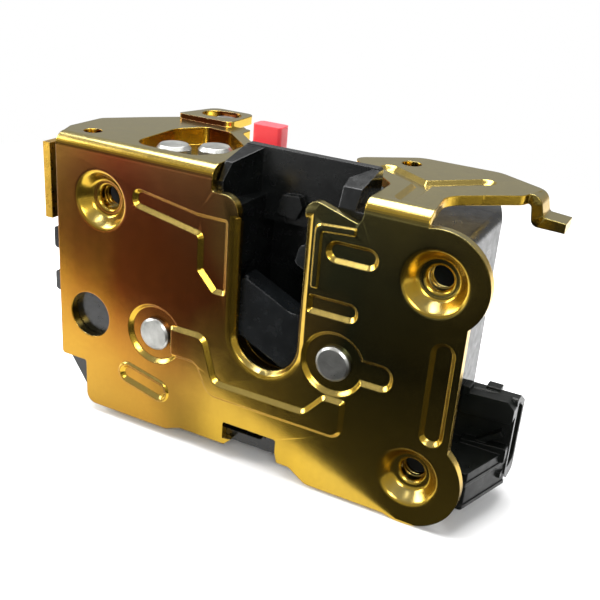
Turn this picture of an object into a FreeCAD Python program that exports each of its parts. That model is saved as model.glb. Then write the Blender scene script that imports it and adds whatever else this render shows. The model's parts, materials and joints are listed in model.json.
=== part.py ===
import FreeCAD, Part
import math
import os
import Sketcher
from FreeCAD import Placement, Rotation, Vector

# Door latch with its power lock actuator.
# Frame: +X right as seen from outside the door edge, +Y into the door, +Z up.
# The origin is the centre of the striker at full latch, on the front face of the plate.

doc = FreeCAD.newDocument("door_latch_actuator")

SIZES = {
    # face plate
    "plate_thick": 2.0,
    "plate_left": 54.5,
    "plate_right": 42.5,
    "plate_foot": 30.0,
    "bend_outer": 3.0,
    "flange_top": 35.0,
    "slot_half": 7.5,
    "lip_wide": 2.0,
    "lip_drop": 0.6,
    "emboss": 0.9,
    "bead": 0.4,
    "rim_round": 1.8,
    "emboss_wall": 0.9,
    "recess_wall": 1.2,
    # screw holes
    "screw_left_x": -42.4,
    "screw_right_x": 35.0,
    "screw_top": 21.8,
    "screw_low": -20.9,
    "dimple_wide": 14.5,
    "dimple_throat": 8.4,
    "dimple_deep": 3.2,
    "thread_bore": 5.0,
    "collar_wall": 1.5,
    "collar_reach": 7.0,
    "lobe_top_round": 10.6,
    "lobe_low_round": 11.2,
    "access_bore": 11.0,
    # rivets and pivots
    "claw_x": 16.2,
    "claw_z": -0.7,
    "pawl_x": -27.7,
    "pawl_z": -6.5,
    "rivet_head": 7.6,
    "rivet_head_high": 1.2,
    "rivet_shank": 5.0,
    "pivot_shoulder": 8.0,
    "running_gap": 0.06,
    "press_gap": 0.02,
    "side_gap": 0.3,
    # latch layers, measured into the door
    "claw_front": 2.9,
    "cover_skin": 0.9,
    "claw_back": 8.3,
    "back_plate_front": 8.8,
    "back_plate_thick": 2.0,
    # claw, in its own directions: along the catch arm and across it
    "claw_rest": 155.0,
    "claw_reach": 26.6,
    "mouth_low": 1.5,
    "mouth_high": 11.8,
    "mouth_floor": 9.8,
    "arm_foot": -10.9,
    "tooth_reach": 25.5,
    "lining": 1.2,
    "claw_leg": 5.4,
    # pawl
    "pawl_rest": -35.0,
    "pawl_reach": 26.4,
    "pawl_half": 2.2,
    "pawl_hub": 6.5,
    "pawl_tail": 9.0,
    "pawl_pin": 4.0,
    # latch housing
    "housing_front": 2.1,
    "housing_layer_back": 8.5,
    "channel_half": 8.0,
    "channel_wall": 2.0,
    "channel_floor_high": 12.5,
    "channel_floor_low": 16.8,
    "channel_top": 37.6,
    # release levers
    "lever_front": 11.2,
    "lever_thick": 2.0,
    "lever_x": -47.0,
    "lever_z": 4.0,
    # top flange rivets
    "rivet_a_x": -30.6,
    "rivet_a_y": 10.8,
    "rivet_b_x": -23.0,
    "rivet_b_y": 15.6,
    "rivet_c_x": -34.5,
    "rivet_c_y": 38.3,
    "recess_floor": 31.0,
    "top_layer": 27.4,
    "low_layer": 24.4,
    # actuator
    "case_front": 13.8,
    "case_back": 33.0,
    "case_lean": 4.0,
    "case_wall": 1.6,
    "case_right": 38.0,
    "case_top": 27.5,
    "case_low_top": 22.6,
    "case_foot": -28.0,
    "cover_deep": 11.0,
    "cover_thick": 2.0,
    "cover_wall": 2.6,
    "gear_module": 0.7,
    "wheel_teeth": 33.0,
    "pinion_teeth": 10.0,
    "rack_pinion_teeth": 12.0,
    "gear_backlash": 0.12,
    "wheel_x": 23.9,
    "wheel_z": -4.0,
    "wheel_front": 16.4,
    "wheel_thick": 3.6,
    "rack_front": 21.6,
    "rack_thick": 3.0,
    "spindle": 3.0,
    "motor_shaft": 2.0,
    "motor_wide": 17.0,
    "motor_high": 15.4,
    "motor_front": 22.4,
    "motor_long": 18.0,
    "motor_lean": 90.0,
    "rack_stroke": 6.0,
    "post_x": -28.0,
    "post_half": 1.4,
    "post_pin": 1.3,
    "case_step_x": -7.6,
    "plug_long": 13.2,
    "plug_front": 16.8,
    "plug_back": 25.0,
    "plug_low": -24.2,
    "plug_high": -5.5,
    "spring_front": 11.6,
}

sheet = doc.addObject("Spreadsheet::Sheet", "sizes")
for row, (alias, value) in enumerate(SIZES.items(), start=1):
    sheet.set("A%d" % row, alias)
    sheet.set("B%d" % row, str(value))
    sheet.setAlias("B%d" % row, alias)
doc.recompute()


class Reader:
    """Reads a size from the sheet by its alias."""

    def __getattr__(self, alias):
        return float(sheet.get(alias))

    def mesh_reach(self):
        """Distance between the axes of the motor and the drive wheel."""
        return self.gear_module * (self.wheel_teeth + self.pinion_teeth) / 2

    def motor_x(self):
        return self.wheel_x + self.mesh_reach() * math.cos(math.radians(self.motor_lean))

    def motor_z(self):
        return self.wheel_z + self.mesh_reach() * math.sin(math.radians(self.motor_lean))


size = Reader()


# Outlines

def rounded(corners):
    """Lines and arcs of a closed outline through corners (x, y) or (x, y, round)."""
    points = [Vector(c[0], c[1], 0) for c in corners]
    rounds = [c[2] if len(c) > 2 else 0.0 for c in corners]
    count = len(points)
    starts, ends, mids = [], [], []
    for i in range(count):
        here = points[i]
        back = (points[i - 1] - here).normalize()
        ahead = (points[(i + 1) % count] - here).normalize()
        if rounds[i] == 0.0:
            starts.append(here)
            ends.append(here)
            mids.append(None)
            continue
        half = back.getAngle(ahead) / 2
        run = rounds[i] / math.tan(half)
        centre = here + (back + ahead).normalize() * (rounds[i] / math.sin(half))
        starts.append(here + back * run)
        ends.append(here + ahead * run)
        mids.append(centre + (here - centre).normalize() * rounds[i])
    edges = []
    for i in range(count):
        if mids[i] is not None:
            edges.append(Part.Arc(starts[i], mids[i], ends[i]))
        following = starts[(i + 1) % count]
        if (following - ends[i]).Length > 1e-4:
            edges.append(Part.LineSegment(ends[i], following))
    return edges


def inset(corners, gap):
    """The same corners moved inwards by a gap; rounds follow, so arcs stay arcs."""
    points = [Vector(c[0], c[1], 0) for c in corners]
    count = len(points)
    area = sum(points[i - 1].x * points[i].y - points[i].x * points[i - 1].y for i in range(count))
    way = 1.0 if area > 0 else -1.0
    result = []
    for i in range(count):
        coming = (points[i] - points[i - 1]).normalize()
        going = (points[(i + 1) % count] - points[i]).normalize()
        first = Vector(-coming.y, coming.x, 0) * way
        second = Vector(-going.y, going.x, 0) * way
        place = points[i] + (first + second) * (gap / (1 + first.dot(second)))
        bend = (coming.x * going.y - coming.y * going.x) * way
        radius = corners[i][2] if len(corners[i]) > 2 else 0.0
        if radius > 0:
            radius = max(radius - gap, 0.1) if bend > 0 else radius + gap
        result.append((place.x, place.y, radius))
    return result


def stadium(x1, y1, x2, y2, radius):
    """Corners of a slot with round ends centred on two points."""
    length = math.hypot(x2 - x1, y2 - y1) + radius
    heading = math.degrees(math.atan2(y2 - y1, x2 - x1))
    corners = [(-radius, -radius, radius), (length, -radius, radius),
               (length, radius, radius), (-radius, radius, radius)]
    return turned(corners, (x1, y1), heading)


def box(x1, y1, x2, y2, radius=0.0):
    """Corners of a rectangle with equal rounds."""
    return [(x1, y1, radius), (x2, y1, radius), (x2, y2, radius), (x1, y2, radius)]


def sector(x, y, radius, start, end):
    """A pie slice between two angles in degrees."""
    spots = [Vector(x + radius * math.cos(math.radians(a)), y + radius * math.sin(math.radians(a)), 0)
             for a in (start, (start + end) / 2, end)]
    middle = Vector(x, y, 0)
    return [Part.LineSegment(middle, spots[0]), Part.Arc(*spots), Part.LineSegment(spots[2], middle)]


def arc_slot(x, y, radius, half, start, end):
    """A curved slot of a given half width between two angles in degrees."""
    def spot(reach, angle):
        turn = math.radians(angle)
        return Vector(x + reach * math.cos(turn), y + reach * math.sin(turn), 0)
    middle = (start + end) / 2
    cap = math.degrees(half / radius)
    return [
        Part.Arc(spot(radius + half, start), spot(radius + half, middle), spot(radius + half, end)),
        Part.Arc(spot(radius + half, end), spot(radius, end + cap), spot(radius - half, end)),
        Part.Arc(spot(radius - half, end), spot(radius - half, middle), spot(radius - half, start)),
        Part.Arc(spot(radius - half, start), spot(radius, start - cap), spot(radius + half, start)),
    ]


def turned(corners, origin, heading, mirrored=False):
    """Corners given along and across a heading in degrees, moved to an origin."""
    along = Vector(math.cos(math.radians(heading)), math.sin(math.radians(heading)), 0)
    across = Vector(along.y, -along.x, 0) if mirrored else Vector(-along.y, along.x, 0)
    result = []
    for corner in corners:
        place = Vector(origin[0], origin[1], 0) + along * corner[0] + across * corner[1]
        result.append((place.x, place.y) + tuple(corner[2:]))
    return result


def chain(items, shift=(0.0, 0.0)):
    """A closed outline of points and three-point arcs, each moved by a shift."""
    def moved(point):
        return Vector(point[0] + shift[0], point[1] + shift[1], 0)
    edges, spots = [], []
    for item in items:
        if isinstance(item[0], tuple):
            spots.append([moved(point) for point in item])
            edges.append(Part.Arc(*spots[-1]))
        else:
            spots.append([moved(item)])
    for ending, starting in zip(spots, spots[1:] + spots[:1]):
        if (starting[0] - ending[-1]).Length > 1e-4:
            edges.append(Part.LineSegment(ending[-1], starting[0]))
    return edges


# Bodies and features

BODIES = []


def new_body(label):
    body = doc.addObject("PartDesign::Body", label)
    body.Label = label
    BODIES.append(body)
    return body


def sketch(body, role, shift=None):
    """A sketch on an origin plane of its body, moved along the plane's normal."""
    item = body.newObject("Sketcher::SketchObject", body.Name + "_sketch")
    plane = next(f for f in body.Origin.OriginFeatures if f.Role == role)
    item.AttachmentSupport = (plane, [""])
    item.MapMode = "FlatFace"
    if shift is not None:
        item.setExpression("AttachmentOffset.Base.z", shift)
    return item


def front(body, depth="0"):
    """A sketch facing the front, at a depth into the door."""
    return sketch(body, "XZ_Plane", "-(%s)" % depth)


def level(body, height="0"):
    """A sketch seen from above, at a height."""
    return sketch(body, "XY_Plane", height)


def draw(item, *outlines):
    """Adds outlines to a sketch; a list of corners is rounded first."""
    for outline in outlines:
        edges = rounded(outline) if isinstance(outline[0], tuple) else outline
        item.addGeometry(edges, False)
    return item


def ring(item, x, y, radius):
    """A circle whose radius follows the sheet."""
    shape = Part.Circle(Vector(x, y, 0), Vector(0, 0, 1), 1.0)
    index = item.addGeometry(shape, False)
    item.addConstraint(Sketcher.Constraint("Radius", index, 1.0))
    item.setExpression("Constraints[%d]" % (item.ConstraintCount - 1), radius)
    return item


def add(body, item, length, towards_back=True, taper=0.0):
    """Pads a sketch; a front sketch grows into the door unless told otherwise."""
    pad = body.newObject("PartDesign::Pad", body.Name + "_pad")
    pad.Profile = item
    pad.Reversed = towards_back
    pad.setExpression("Length", length)
    pad.TaperAngle = taper
    return pad


def cut(body, item, length, reverse=False, taper=0.0):
    """Pockets a sketch; a front sketch cuts into the door unless reversed."""
    pocket = body.newObject("PartDesign::Pocket", body.Name + "_pocket")
    pocket.Profile = item
    pocket.Reversed = reverse
    pocket.setExpression("Length", length)
    pocket.TaperAngle = taper
    return pocket


def pressed(body, corners, first, second, raised=False, wall=None):
    """A panel pressed out of a sheet with slanted walls between two sketches."""
    wide = draw(first, corners)
    narrow = draw(second, inset(corners, wall or size.emboss_wall))
    kind = "Additive" if raised else "Subtractive"
    loft = body.newObject("PartDesign::%sLoft" % kind, body.Name + "_press")
    loft.Profile = wide
    loft.Sections = [narrow]
    loft.Ruled = True
    return loft


def solid(label, shape):
    """A sub-part whose shape is computed from the sheet."""
    item = doc.addObject("Part::Feature", label)
    item.Label = label
    item.Shape = shape
    item.Placement = Placement()
    BODIES.append(item)
    return item


def spun(label, profile, x, z):
    """A sub-part turned about an axis into the door; profile is (radius, depth)."""
    body = new_body(label)
    item = sketch(body, "XZ_Plane")
    edges = [Part.LineSegment(Vector(a[0], -a[1], 0), Vector(b[0], -b[1], 0))
             for a, b in zip(profile, profile[1:] + profile[:1])]
    draw(item, edges)
    body_turn = body.newObject("PartDesign::Revolution", label + "_turn")
    body_turn.Profile = item
    body_turn.ReferenceAxis = (item, ["V_Axis"])
    body_turn.Angle = 360.0
    body.Placement = Placement(Vector(x, 0, z), Rotation(Vector(1, 0, 0), 90))
    return body


# Face plate

SCREWS = [
    ("screw_left_x", "screw_top"),
    ("screw_right_x", "screw_top"),
    ("screw_right_x", "screw_low"),
]


def face_plate():
    body = new_body("face_plate")
    bend_foot = size.flange_top - size.bend_outer
    left, right, foot = -size.plate_left, size.plate_right, -size.plate_foot
    slot = size.slot_half
    outline = [
        (left, bend_foot), (-13.9, bend_foot), (-13.9, 29.6, 0.5), (-slot, 29.6, 3.6),
        (-slot, -slot, slot), (slot, -slot, slot), (slot, 33.2, 2.4), (18.6, 29.8, 0.5),
        (19.4, 31.0, 0.3), (19.6, bend_foot), (32.4, bend_foot), (right, size.screw_top),
        (right, size.screw_low), (34.0, -31.3), (12.4, -31.3, 2.4), (8.2, -28.5, 1.0),
        (5.2, -28.5, 0.5), (4.6, -26.2), (4.6, -22.9, 0.6), (-8.9, -22.9, 0.6),
        (-8.9, -27.0), (-6.6, -26.8), (-8.4, -28.5, 0.6), (-20.4, -28.5, 1.0),
        (-24.4, foot, 2.5), (left + 7.2, foot, 2.6), (left + 7.2, -18.9, 0.6),
        (left, -18.9, 0.8),
    ]
    add(body, draw(front(body), outline), "sizes.plate_thick")
    lobes = [("screw_top", "sizes.lobe_top_round"), ("screw_low", "sizes.lobe_low_round")]
    for alias, reach in lobes:
        item = ring(front(body), size.screw_right_x, getattr(size, alias), reach)
        add(body, item, "sizes.plate_thick")
    bends(body)
    left_flange(body)
    right_flange(body)
    slot_lip(body)
    rolled_rim(body)
    embosses(body)
    for alias_x, alias_z in SCREWS:
        dimple(body, getattr(size, alias_x), getattr(size, alias_z))
    shank = "sizes.rivet_shank / 2 + sizes.press_gap"
    for x, z in ((size.claw_x, size.claw_z), (size.pawl_x, size.pawl_z)):
        dish = box(x - 7.2, z - 7.2, x + 7.2, z + 7.2, 7.2)
        pressed(body, dish, front(body), front(body, "sizes.emboss"))
        cut(body, ring(front(body), x, z, shank), "sizes.plate_thick")
    cut(body, ring(front(body), -45.8, -6.5, "sizes.access_bore / 2"), "sizes.plate_thick")
    return body


def bends(body):
    """The two rolled corners between the plate and its top flanges."""
    top, reach, thick = size.flange_top, size.bend_outer, size.plate_thick
    inner = reach - thick
    slant = math.sqrt(0.5)
    outer_mid = Vector(reach - reach * slant, top - reach + reach * slant, 0)
    inner_mid = Vector(reach - inner * slant, top - reach + inner * slant, 0)
    for start, end in ((-size.plate_left, -13.9), (19.6, 32.4)):
        profile = [
            Part.Arc(Vector(0, top - reach, 0), outer_mid, Vector(reach, top, 0)),
            Part.LineSegment(Vector(reach, top, 0), Vector(reach, top - thick, 0)),
            Part.Arc(Vector(reach, top - thick, 0), inner_mid, Vector(thick, top - reach, 0)),
            Part.LineSegment(Vector(thick, top - reach, 0), Vector(0, top - reach, 0)),
        ]
        item = draw(sketch(body, "YZ_Plane", str(start)), profile)
        add(body, item, str(end - start), towards_back=False)


def left_flange(body):
    """Top flange with the dished recess for two rivets and the raised rear tab."""
    near = size.bend_outer
    under = "sizes.flange_top - sizes.plate_thick"
    outline = [
        (-size.plate_left, near), (-13.9, near), (-13.9, 18.7, 2.0), (-24.0, 28.8, 2.0),
        (-24.0, 33.0, 1.0), (-42.5, 34.5, 2.0), (-49.5, 26.5, 5.0), (-56.2, 18.0, 3.0),
        (-56.2, 7.0, 2.5),
    ]
    add(body, draw(level(body, under), outline), "sizes.plate_thick", towards_back=False)
    tab = [(-44.0, 31.5, 1.0), (-29.0, 31.5, 2.0), (-29.0, 43.6, 2.5), (-40.6, 43.6, 3.0)]
    add(body, draw(level(body, under + " + 1.2"), tab), "sizes.plate_thick", towards_back=False)
    dish = [(-38.6, 2.5, 6.0), (-20.4, 2.5, 5.0), (-15.6, 10.0, 4.0), (-16.0, 19.4, 3.0),
            (-25.6, 29.0, 4.0), (-34.0, 30.0, 4.0), (-39.4, 22.0, 6.0)]
    add(body, draw(level(body, under), inset(dish, 0.4)),
        "sizes.flange_top - sizes.plate_thick - sizes.recess_floor + sizes.recess_wall")
    cut(body, draw(level(body, "sizes.flange_top"), inset(dish, size.recess_wall + 0.4)),
        "sizes.flange_top - sizes.recess_floor")
    cup_x, cup_y = size.rivet_c_x, size.rivet_c_y
    cup = stadium(cup_x - 2.4, cup_y - 0.6, cup_x + 0.6, cup_y, 4.6)
    add(body, draw(level(body, under), cup), "sizes.recess_wall")
    hollow = inset(cup, size.recess_wall)
    cut(body, draw(level(body, "sizes.flange_top + 1.2"), hollow), "3.2")
    for alias in "abc":
        x, y = getattr(size, "rivet_%s_x" % alias), getattr(size, "rivet_%s_y" % alias)
        bore = "sizes.rivet_shank / 2 + sizes.press_gap"
        cut(body, ring(level(body, "sizes.flange_top + 1.2"), x, y, bore), "8")
    cut(body, ring(level(body, "sizes.flange_top"), -49.4, 6.6, "2.1"), "sizes.plate_thick")


def right_flange(body):
    """Top flange that runs back into the arm, with its forked bead and its end tab."""
    near = size.bend_outer
    under = "sizes.flange_top - sizes.plate_thick"
    outline = [
        (19.6, near), (32.4, near), (31.0, 12.5, 6.0), (37.0, 18.0, 6.0), (43.5, 23.5, 3.0),
        (46.0, 31.0, 2.0), (35.0, 37.8, 5.0), (17.0, 37.8, 5.0), (4.5, 27.0, 3.0),
        (14.0, 19.0, 3.0), (19.6, 13.0, 3.0),
    ]
    add(body, draw(level(body, under), outline), "sizes.plate_thick", towards_back=False)
    fork = (24.6, 17.5)
    for far in ((25.2, 6.0), (34.6, 28.0), (14.6, 24.6)):
        bead = stadium(fork[0], fork[1], far[0], far[1], 2.1)
        pressed(body, bead, level(body, "sizes.flange_top"),
                level(body, "sizes.flange_top - sizes.emboss"))
    cut(body, ring(level(body, "sizes.flange_top"), 17.1, 31.0, "2.2"), "sizes.plate_thick")
    top, thick = size.flange_top, size.plate_thick
    hook = [(43.2, top), (46.6, top, 2.4), (47.6, top - 4.2, 0.8), (52.2, top - 4.6),
            (52.2, top - 4.6 - thick), (45.4, top - 4.4 - thick, 1.6),
            (44.8, top - thick, 0.8), (43.2, top - thick)]
    add(body, draw(front(body, "25.5"), hook), "6")


def slot_lip(body):
    """The rim of the striker slot, rolled into the door."""
    slot = size.slot_half
    rim = slot + size.lip_wide
    lip = [
        (-rim, 24.0), (-rim, -rim, rim), (rim, -rim, rim), (rim, 24.0),
        (slot, 24.0), (slot, -slot, slot), (-slot, -slot, slot), (-slot, 24.0),
    ]
    add(body, draw(front(body, "sizes.plate_thick"), lip), "sizes.lip_drop")


def rolled_rim(body):
    """Leans the front edge of the striker slot in two steps, as it is rolled into the door."""
    outer = size.slot_half + size.rim_round
    middle = outer - size.rim_round * 0.55
    steps = ((outer, outer - middle, "0", "0.25"), (middle, middle - size.slot_half - 0.1, "0.25", "0.8"))
    for reach, wall, start, end in steps:
        edge = [(-reach, 25.4), (-reach, -reach, reach), (reach, -reach, reach), (reach, 30.0)]
        pressed(body, edge, front(body, start + " * sizes.rim_round"),
                front(body, end + " * sizes.rim_round"), wall=wall)


def embosses(body):
    """Shallow pressed panels that stiffen the plate."""
    recesses = [
        stadium(14.8, 23.3, 21.3, 23.3, 2.3),
        stadium(38.6, 8.0, 38.6, -9.8, 2.5),
        [(9.4, 13.4, 0.9), (20.6, 13.4, 2.0), (20.6, 9.2, 2.0), (9.4, 9.2, 0.9)],
        [(18.0, 2.3, 0.9), (29.4, 2.3, 2.6), (29.4, -3.6, 2.6), (18.0, -3.6, 0.9)],
        [(-33.6, 26.9, 1.9), (-17.2, 24.4, 3.0), (-9.7, 24.4, 0.9), (-9.7, 7.4, 0.9),
         (-12.8, 7.4, 0.9), (-16.8, 11.7, 0.9), (-16.8, 19.4, 0.9), (-33.6, 22.4, 1.9)],
    ]
    for corners in recesses:
        pressed(body, corners, front(body), front(body, "sizes.emboss"))
    bead = [(18.6, 29.0, 0.5), (9.8, 28.4, 1.8), (9.8, 14.8, 0.5), (11.6, 14.8, 0.5),
            (11.6, 26.7, 0.5), (18.6, 27.2, 0.5)]
    pressed(body, bead, front(body), front(body, "-sizes.bead"), raised=True, wall=size.bead)
    band = [
        (size.pawl_x + 4.3, -2.7, 0.9), (-14.0, -2.7, 3.0), (-10.9, -13.0, 2.0),
        (10.6, -13.0, 2.0), (15.0, -8.0, 2.0), (20.0, -8.0, 0.9), (20.0, -17.5, 3.0),
        (-13.2, -17.5, 3.6), (-16.4, -10.4, 1.6), (size.pawl_x + 4.3, -10.4, 0.9),
    ]
    pressed(body, band, front(body, "0"), front(body, "-sizes.emboss"), raised=True)
    rib = stadium(-34.8, -18.6, -26.4, -20.6, 2.9)
    pressed(body, rib, front(body, "0"), front(body, "-sizes.bead"), raised=True, wall=size.bead)
    groove = stadium(-34.8, -18.6, -26.4, -20.6, 2.2)
    pressed(body, groove, front(body, "-sizes.bead"), front(body, "sizes.bead"))


def dimple(body, x, z):
    """A screw seat: a bowl pressed into the door that ends in a threaded collar."""
    wide, deep, thick = size.dimple_wide / 2, size.dimple_deep, size.plate_thick
    bore, reach = size.thread_bore / 2, size.collar_reach
    collar = bore + size.collar_wall
    bowl = [
        (-0.5, 0.0), (-0.5, wide),
        ((0.0, wide), (0.16, wide - 0.7), (0.57, wide - 1.25)),
        ((deep - 0.95, wide - 2.6), (deep - 0.5, wide - 3.05), (deep - 0.3, wide - 3.6)),
        ((deep - 0.3, wide - 3.6), (deep - 0.05, bore + 0.4), (deep + 0.7, bore)),
        (reach + 0.5, bore), (reach + 0.5, 0.0),
    ]
    outside = [
        (0.4, bore), (0.4, wide + 0.6), (thick, wide + 0.6),
        ((thick, wide + 0.6), (thick + 0.3, wide + 0.1), (thick + 0.8, wide - 0.5)),
        ((deep + thick * 0.6, collar + 0.8), (deep + thick, collar + 0.2), (deep + 2.4, collar)),
        (reach, collar), (reach, bore),
    ]
    for kind, profile in (("PartDesign::Revolution", outside), ("PartDesign::Groove", bowl)):
        item = sketch(body, "YZ_Plane", str(x))
        draw(item, chain(profile, (0.0, z)))
        item.addGeometry(Part.LineSegment(Vector(-1, z, 0), Vector(reach + 1, z, 0)), True)
        turned_feature = body.newObject(kind, body.Name + "_turn")
        turned_feature.Profile = item
        turned_feature.ReferenceAxis = (item, ["Axis0"])
        turned_feature.Angle = 360.0


face_plate()

# Latch: back plate, rivets and housing

def back_plate():
    """Steel plate that closes the latch layer behind the claw and the pawl."""
    body = new_body("back_plate")
    edge = size.channel_half + size.channel_wall + size.side_gap
    outline = [
        (-38.5, -24.0, 4.0), (-38.5, -4.5, 2.0), (-52.0, -4.5, 3.0), (-52.0, 9.0, 3.0),
        (-edge, 9.0, 2.0), (-edge, -edge, edge - 1.0), (edge, -edge, edge - 1.0), (edge, 12.0, 2.0),
        (27.5, 12.0, 5.0), (29.5, -16.0, 4.0), (17.0, -26.8, 3.0), (-16.0, -26.8, 6.0),
    ]
    face = "sizes.back_plate_front"
    thick = "sizes.back_plate_thick"
    add(body, draw(front(body, face), outline), thick)
    shank = "sizes.rivet_shank / 2 + sizes.press_gap"
    for x, z in ((size.claw_x, size.claw_z), (size.pawl_x, size.pawl_z)):
        cut(body, ring(front(body, face), x, z, shank), thick)
    cut(body, ring(front(body, face), size.lever_x, size.lever_z, "2 + sizes.press_gap"), thick)
    tail = 180.0 + size.pawl_rest
    window = arc_slot(size.pawl_x, size.pawl_z, size.pawl_tail, size.pawl_pin / 2 + 0.9,
                      tail - 2.0, tail + 13.0)
    cut(body, draw(front(body, face), window), thick)
    spring_path = arc_slot(size.claw_x, size.claw_z, size.claw_leg, 1.3, -34.0, 26.0)
    cut(body, draw(front(body, face), spring_path), thick)


def shoulder_rivet(label, x, z):
    """A rivet with a shoulder between the plates, headed at both ends."""
    head, shank, shoulder = size.rivet_head / 2, size.rivet_shank / 2, size.pivot_shoulder / 2
    floor = size.emboss
    top = floor - size.rivet_head_high
    back = size.back_plate_front + size.back_plate_thick
    spun(label, [
        (0.0, top), (head - 0.5, top), (head, top + 0.4), (head, floor), (shank, floor),
        (shank, size.plate_thick), (shoulder, size.plate_thick), (shoulder, size.back_plate_front),
        (shank, size.back_plate_front), (shank, back), (head - 0.4, back),
        (head - 0.9, back + 1.0), (0.0, back + 1.0),
    ], x, z)


def latch_housing():
    """Moulded housing between the plates, with the striker channel and its funnel."""
    body = new_body("latch_housing")
    face = "sizes.housing_front"
    layer = "sizes.housing_layer_back - sizes.housing_front"
    outline = [
        (-16.2, 31.4, 0.8), (-16.2, 25.8, 0.8), (-53.6, 25.8, 2.0), (-53.6, 13.0, 0.5), (-57.6, 12.0, 0.8), (-57.6, 7.0, 0.8),
        (-53.6, 6.6, 0.5), (-53.6, 1.6, 0.5), (-57.6, 1.2, 0.8), (-57.6, -3.6, 0.8),
        (-53.6, -4.0, 0.5), (-54.4, -19.0, 1.5), (-47.2, -29.4, 3.0), (-26.0, -29.4, 2.0),
        (-21.5, -27.9, 2.0), (7.6, -27.9, 2.0), (12.4, -30.6, 2.0), (26.5, -30.6, 1.0),
        (41.0, -15.0, 1.0), (41.0, 13.0, 1.0), (27.0, 31.4, 1.0),
    ]
    add(body, draw(front(body, face), outline), layer)
    reach = size.channel_half + size.channel_wall
    channel = [(-reach, 31.4), (-reach, -reach, reach), (reach, -reach, reach), (reach, 31.4)]
    add(body, draw(front(body, "sizes.housing_layer_back - 0.5"), channel),
        "sizes.channel_floor_low + sizes.channel_wall - sizes.housing_layer_back + 0.5")
    hood = [(-13.6, 24.0, 1.0), (-13.6, size.channel_top, 0.6), (17.0, size.channel_top, 0.6),
            (17.0, 24.0, 1.0)]
    add(body, draw(front(body, face), hood),
        "sizes.channel_floor_high + sizes.channel_wall - sizes.housing_front")
    half = size.channel_half
    entry = [(-half, 22.0), (-half, -half, half), (half, -half, half), (half, 22.0)]
    rim = size.slot_half + size.lip_wide + 0.1
    rim_seat = [(-rim, 24.1), (-rim, -rim, rim), (rim, -rim, rim), (rim, 24.1)]
    cut(body, draw(front(body), rim_seat), "sizes.plate_thick + sizes.lip_drop + 0.1")
    cut(body, draw(front(body), entry), "sizes.channel_floor_low")
    upper = [(-half, 50.0), (-half, 0.0), (half, 0.0), (half, 50.0)]
    cut(body, draw(front(body), upper), "sizes.channel_floor_high")
    floor = size.channel_floor_high
    funnel = [(-12.6, -1.0), (-12.4, 2.6), (-9.2, floor), (15.2, floor), (12.6, 8.0), (13.4, 2.0),
              (13.4, -1.0)]
    cut(body, draw(level(body, "sizes.channel_top + 1"), funnel), "11")
    slope = [Vector(0, 30.9, 0), Vector(1.6, 30.9, 0), Vector(4.4, 35.2, 0),
             Vector(floor, size.channel_top - 0.4, 0), Vector(floor, 45, 0), Vector(0, 45, 0)]
    lines = [Part.LineSegment(a, b) for a, b in zip(slope, slope[1:] + slope[:1])]
    cut(body, draw(sketch(body, "YZ_Plane", "-20"), lines), "40", reverse=True)
    nub = [(-4.6, 24.4, 0.4), (-3.4, 28.6, 0.8), (0.6, 29.0, 0.6), (1.6, 26.6, 0.4), (0.2, 23.6, 0.4)]
    add(body, draw(front(body, "sizes.channel_floor_high - 1.8"), nub), "2.5")
    cut(body, draw(front(body), sector(size.claw_x, size.claw_z, 28.4, 32.0, 238.0)),
        "sizes.housing_layer_back + 0.25")
    cut(body, draw(front(body), sector(size.claw_x, size.claw_z, 18.6, 225.0, 272.0)),
        "sizes.housing_layer_back")
    cut(body, ring(front(body), size.claw_x, size.claw_z, "12.6"), "sizes.housing_layer_back")
    pocket = [
        (-40.4, -2.0, 3.0), (-40.4, 6.5, 3.0), (-30.0, 6.5, 3.0), (-18.5, 1.0, 4.0),
        (-9.0, -10.0, 1.0), (0.5, -14.0, 1.0), (0.5, -25.5, 1.0), (-9.0, -25.5, 2.0),
        (-31.0, -14.8, 4.0), (-36.5, -12.5, 3.0),
    ]
    cut(body, draw(front(body), pocket), "sizes.housing_layer_back")
    for alias_x, alias_z in SCREWS:
        x, z = getattr(size, alias_x), getattr(size, alias_z)
        cut(body, ring(front(body), x, z, "sizes.dimple_wide / 2 + 1.2"),
            "sizes.housing_layer_back")


def striker_bumper():
    """Rubber pad at the foot of the channel that stops the striker softly."""
    body = new_body("striker_bumper")
    reach = size.channel_half - 0.1
    level_top = -4.9
    side = math.sqrt(reach ** 2 - level_top ** 2)
    outline = [Part.Arc(Vector(-side, level_top, 0), Vector(0, -reach, 0), Vector(side, level_top, 0)),
               Part.LineSegment(Vector(side, level_top, 0), Vector(-side, level_top, 0))]
    add(body, draw(front(body, "sizes.back_plate_front + 0.2"), outline),
        "sizes.channel_floor_low - sizes.back_plate_front - 0.2")


back_plate()
shoulder_rivet("claw_rivet", size.claw_x, size.claw_z)
shoulder_rivet("pawl_rivet", size.pawl_x, size.pawl_z)
latch_housing()
striker_bumper()


# Claw and pawl

def claw_place(corners):
    """Corners given along the catch arm and across it, as the claw stands open."""
    return turned(corners, (size.claw_x, size.claw_z), size.claw_rest, mirrored=True)


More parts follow.
